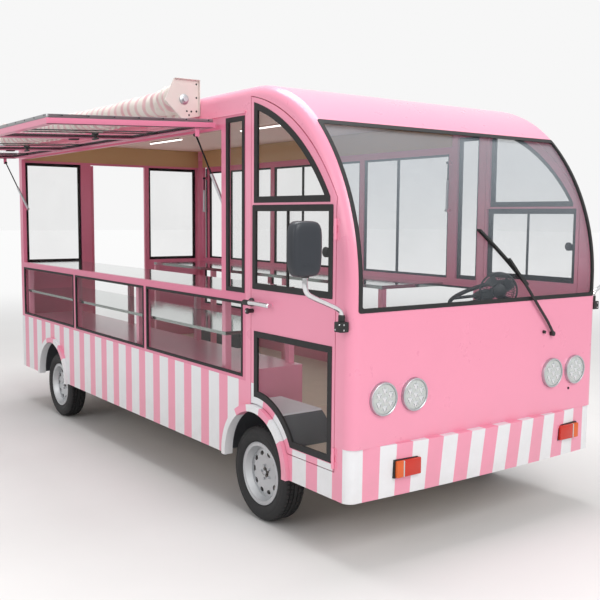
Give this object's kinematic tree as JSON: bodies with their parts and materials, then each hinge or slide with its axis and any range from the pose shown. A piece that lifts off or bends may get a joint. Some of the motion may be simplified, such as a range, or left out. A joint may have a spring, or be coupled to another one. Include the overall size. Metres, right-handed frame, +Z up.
{
  "type": "electric food cart",
  "caption": "Four-wheeled electric food bus with a rounded cab, glazed serving flaps on both sides, counters inside and a rear doorway.",
  "frame": {"origin": "bottom centre of the bounding box at rest, on the ground", "axes": "+X to the front of the cart, +Y to its left, +Z up"},
  "size_m": [5.4912, 3.2958, 2.56],
  "materials": {
    "awning_cloth": "matte",
    "black_plastic": "satin",
    "black_rubber": "matte",
    "chassis_black": "satin",
    "clear_glass": "gloss",
    "cream_lining": "satin",
    "floor_lining": "matte",
    "lamp_lens": "gloss",
    "pink_paint": "gloss",
    "red_lens": "gloss",
    "seat_leather": "satin",
    "steel": "satin",
    "tyre_rubber": "matte",
    "wheel_silver": "satin",
    "white_paint": "gloss"
  },
  "bodies": {
    "body": {"arch_flares": "pink_paint", "awning_frame": "white_paint", "awning_roll": "awning_cloth", "battery_box": "chassis_black", "body_glass": "clear_glass", "cab_shell": "pink_paint", "ceiling_lamps": "lamp_lens", "ceiling_panel": "cream_lining", "chassis_frame": "chassis_black", "counters": "pink_paint", "dashboard": "black_plastic", "drive_motor": "chassis_black", "floor_deck": "floor_lining", "front_axle": "chassis_black", "front_band": "pink_paint", "headlamps": "lamp_lens", "leaf_springs": "chassis_black", "mirrors": "black_plastic", "rear_axle": "chassis_black", "rear_frame": "pink_paint", "rear_skirt": "pink_paint", "roof_panel": "pink_paint", "seat_base": "seat_leather", "seat_cushion": "seat_leather", "side_frame_left": "pink_paint", "side_frame_right": "pink_paint", "side_skirts": "pink_paint", "signal_lamps": "red_lens", "steering_wheel": "black_plastic", "tow_eyes": "chassis_black", "wheel_housings": "floor_lining", "window_seals": "black_rubber", "windscreen": "clear_glass", "wiper": "black_plastic"},
    "knuckle_fr": {"knuckle_right": "chassis_black"},
    "knuckle_fl": {"knuckle_left": "chassis_black"},
    "wheel_fr": {"tyre_front_right": "tyre_rubber", "rim_front_right": "wheel_silver"},
    "wheel_fl": {"tyre_front_left": "tyre_rubber", "rim_front_left": "wheel_silver"},
    "wheel_rr": {"tyre_rear_right": "tyre_rubber", "rim_rear_right": "wheel_silver"},
    "wheel_rl": {"tyre_rear_left": "tyre_rubber", "rim_rear_left": "wheel_silver"},
    "door_r": {"door_panel_right": "pink_paint", "door_glass_right": "clear_glass", "door_seals_right": "black_rubber"},
    "door_l": {"door_panel_left": "pink_paint", "door_glass_left": "clear_glass", "door_seals_left": "black_rubber"},
    "flap_r": {"flap_frame_right": "pink_paint", "flap_glass_right": "clear_glass"},
    "flap_l": {"flap_frame_left": "pink_paint", "flap_glass_left": "clear_glass"},
    "tubes_r": {"strut_tubes_right": "steel"},
    "rods_r": {"strut_rods_right": "steel"},
    "tubes_l": {"strut_tubes_left": "steel"},
    "rods_l": {"strut_rods_left": "steel"},
    "rear_door": {"rear_door_frame": "pink_paint", "rear_door_glass": "clear_glass"}
  },
  "joints": [
    {"name": "steer_right", "type": "hinge", "parent": "body", "child": "knuckle_fr", "pos_m": [1.82059, -0.34813, 0.275], "axis": [0, 0, 1], "range_deg": [-25, 25]},
    {"name": "steer_left", "type": "hinge", "parent": "body", "child": "knuckle_fl", "pos_m": [1.82059, 1.05187, 0.275], "axis": [0, 0, 1], "range_deg": [-25, 25]},
    {"name": "spin_front_right", "type": "hinge", "parent": "knuckle_fr", "child": "wheel_fr", "pos_m": [1.82059, -0.49813, 0.275], "axis": [0, 1, 0], "continuous": true},
    {"name": "spin_front_left", "type": "hinge", "parent": "knuckle_fl", "child": "wheel_fl", "pos_m": [1.82059, 1.20187, 0.275], "axis": [0, 1, 0], "continuous": true},
    {"name": "spin_rear_right", "type": "hinge", "parent": "body", "child": "wheel_rr", "pos_m": [-1.35941, -0.49813, 0.275], "axis": [0, 1, 0], "continuous": true},
    {"name": "spin_rear_left", "type": "hinge", "parent": "body", "child": "wheel_rl", "pos_m": [-1.35941, 1.20187, 0.275], "axis": [0, 1, 0], "continuous": true},
    {"name": "door_right_swing", "type": "hinge", "parent": "body", "child": "door_r", "pos_m": [2.57209, -0.62113, 1.3], "axis": [0, 0, 1], "range_deg": [0, 75]},
    {"name": "door_left_swing", "type": "hinge", "parent": "body", "child": "door_l", "pos_m": [2.57209, 1.32487, 1.3], "axis": [0, 0, -1], "range_deg": [0, 75]},
    {"name": "rear_door_swing", "type": "hinge", "parent": "body", "child": "rear_door", "pos_m": [-2.22241, 0.09137, 1.3], "axis": [0, 0, 1], "range_deg": [-68, 32]},
    {"name": "flap_right_lift", "type": "hinge", "parent": "body", "child": "flap_r", "pos_m": [-0.17941, -0.63313, 2.273], "axis": [-1, 0, 0], "range_deg": [-87.6, 0]},
    {"name": "flap_left_lift", "type": "hinge", "parent": "body", "child": "flap_l", "pos_m": [-0.17941, 1.33687, 2.273], "axis": [1, 0, 0], "range_deg": [0, 87.6]},
    {"name": "strut_right_lean", "type": "hinge", "parent": "body", "child": "tubes_r", "pos_m": [-0.17941, -0.57313, 1.8], "axis": [1, 0, 0], "range_deg": [-24.22, 0.02]},
    {"name": "strut_left_lean", "type": "hinge", "parent": "body", "child": "tubes_l", "pos_m": [-0.17941, 1.27687, 1.8], "axis": [-1, 0, 0], "range_deg": [-0.02, 24.22]},
    {"name": "strut_right_reach", "type": "slide", "parent": "tubes_r", "child": "rods_r", "axis": [0, -0.4223, 0.9064], "range_m": [-0.11601, 0.0001]},
    {"name": "strut_left_reach", "type": "slide", "parent": "tubes_l", "child": "rods_l", "axis": [0, 0.0136, 0.9999], "range_m": [-0.0001, 0.11601]}
  ],
  "couplings": [
    {"joint": "steer_left", "follows": "steer_right", "ratio": 1},
    {"joint": "strut_right_lean", "follows": "flap_right_lift", "ratio": 0.27629},
    {"joint": "strut_right_reach", "follows": "flap_right_lift", "m_per_rad": 0.075814},
    {"joint": "strut_left_lean", "follows": "flap_left_lift", "ratio": 0.27629},
    {"joint": "strut_left_reach", "follows": "flap_left_lift", "m_per_rad": 0.075814}
  ]
}
